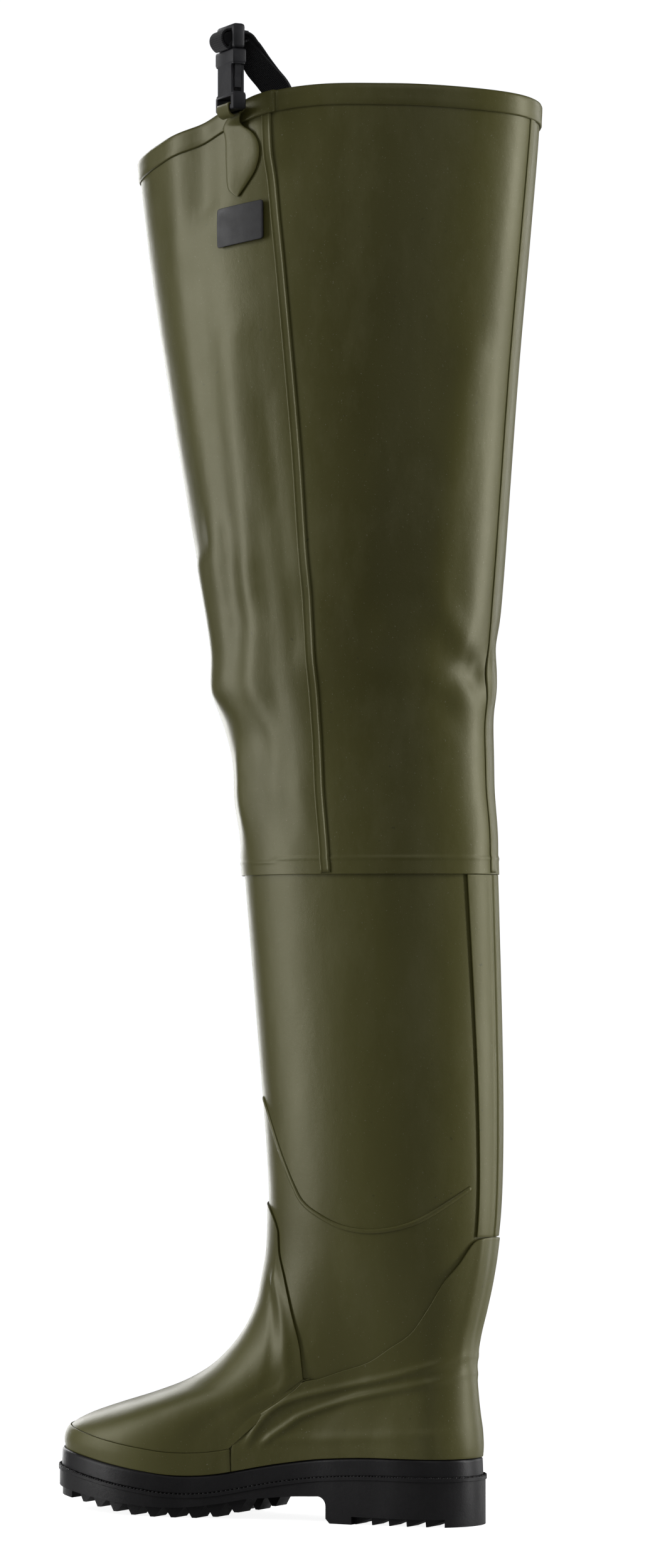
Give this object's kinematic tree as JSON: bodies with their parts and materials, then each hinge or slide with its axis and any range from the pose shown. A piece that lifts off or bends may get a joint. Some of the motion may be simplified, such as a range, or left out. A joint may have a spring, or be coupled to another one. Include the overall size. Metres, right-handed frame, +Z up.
{
  "type": "hip wader",
  "caption": "Thigh-high rubber fishing boot with a lugged sole, moulded heel and toe guards, a long soft leg and a buckled belt strap.",
  "frame": {"origin": "on the floor under the centre of the heel's round back", "axes": "+X to the toe, +Y to the outer side of this left boot, +Z up the leg"},
  "size_m": [0.3497, 0.1756, 0.9586],
  "materials": {
    "sole_rubber": "matte",
    "boot_rubber": "satin",
    "guard_rubber": "satin",
    "leg_rubber": "satin",
    "insole_felt": "matte",
    "badge_plastic": "satin",
    "buckle_plastic": "satin",
    "webbing": "woven"
  },
  "bodies": {
    "root": {"outsole": "sole_rubber", "foxing": "sole_rubber", "insole": "insole_felt", "upper": "boot_rubber", "toe_guard": "guard_rubber", "heel_counter": "guard_rubber", "vamp": "boot_rubber", "back_stay": "guard_rubber", "leg_piping": "guard_rubber", "thigh_leg": "leg_rubber", "side_seam": "leg_rubber", "rear_seam": "leg_rubber", "collar_binding": "leg_rubber", "badge": "badge_plastic", "strap_tab": "leg_rubber", "tab_loop": "leg_rubber", "buckle_female": "buckle_plastic", "buckle_male": "buckle_plastic", "strap": "webbing"}
  },
  "joints": []
}
